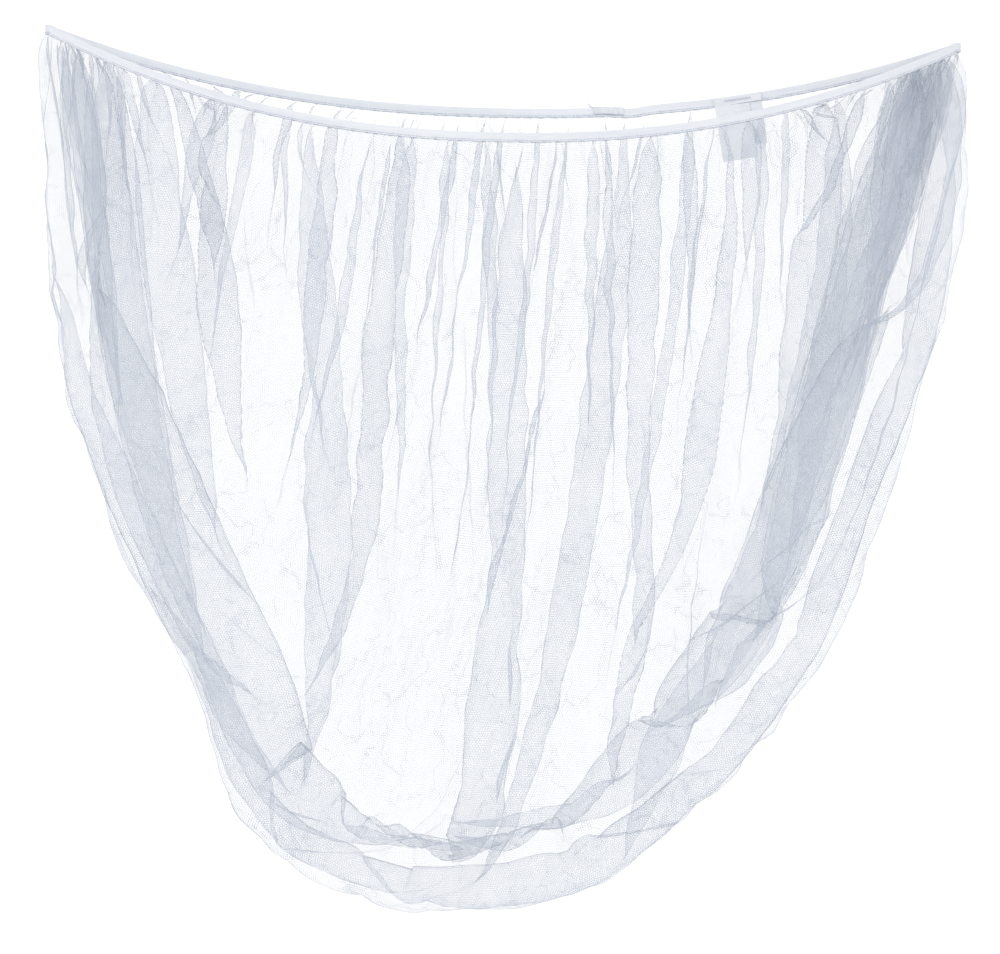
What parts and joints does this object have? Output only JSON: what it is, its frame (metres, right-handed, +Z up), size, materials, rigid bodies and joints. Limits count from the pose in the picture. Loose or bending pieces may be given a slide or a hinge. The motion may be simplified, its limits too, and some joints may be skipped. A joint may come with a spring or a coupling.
{
  "type": "insect net",
  "caption": "Fine white insect net, gathered along its edge into a narrow elastic tape rim and hung open like a bag from two points of the rim.",
  "frame": {"origin": "halfway between the two pegs that the rim hangs on, at the middle of the tape's height there", "axes": "+X from the left peg to the right peg, +Y to the back run of the rim, +Z up; the front run stands towards -Y"},
  "size_m": [0.6658, 0.079, 0.6308],
  "materials": {
    "tape": "matte",
    "elastic": "matte",
    "thread": "satin",
    "label": "satin",
    "net": "matte"
  },
  "bodies": {
    "hung_net": {"tape_back_run": "tape", "tape_left_turn": "tape", "tape_right_turn": "tape", "tape_lap": "tape", "elastic_back_run": "elastic", "elastic_left_turn": "elastic", "elastic_right_turn": "elastic", "seam_back_run": "thread", "seam_left_turn": "thread", "seam_right_turn": "thread", "lap_tack": "thread", "label_tack": "thread", "label_head": "label", "net_front_wall": "net", "net_back_wall": "net"},
    "front_rim": {"tape_front_run": "tape", "elastic_front_run": "elastic", "seam_front_run": "thread"},
    "care_label": {"label_front_leaf": "label", "label_back_leaf": "label"}
  },
  "joints": [
    {"name": "mouth_opening", "type": "hinge", "parent": "hung_net", "child": "front_rim", "pos_m": [0, 0, 0], "axis": [-1, 0, 0], "range_deg": [0, 55]},
    {"name": "label_flap", "type": "hinge", "parent": "hung_net", "child": "care_label", "pos_m": [0.16524, 0.01698, -0.04301], "axis": [-0.9863, 0.0592, -0.1539], "range_deg": [0, 60]}
  ]
}
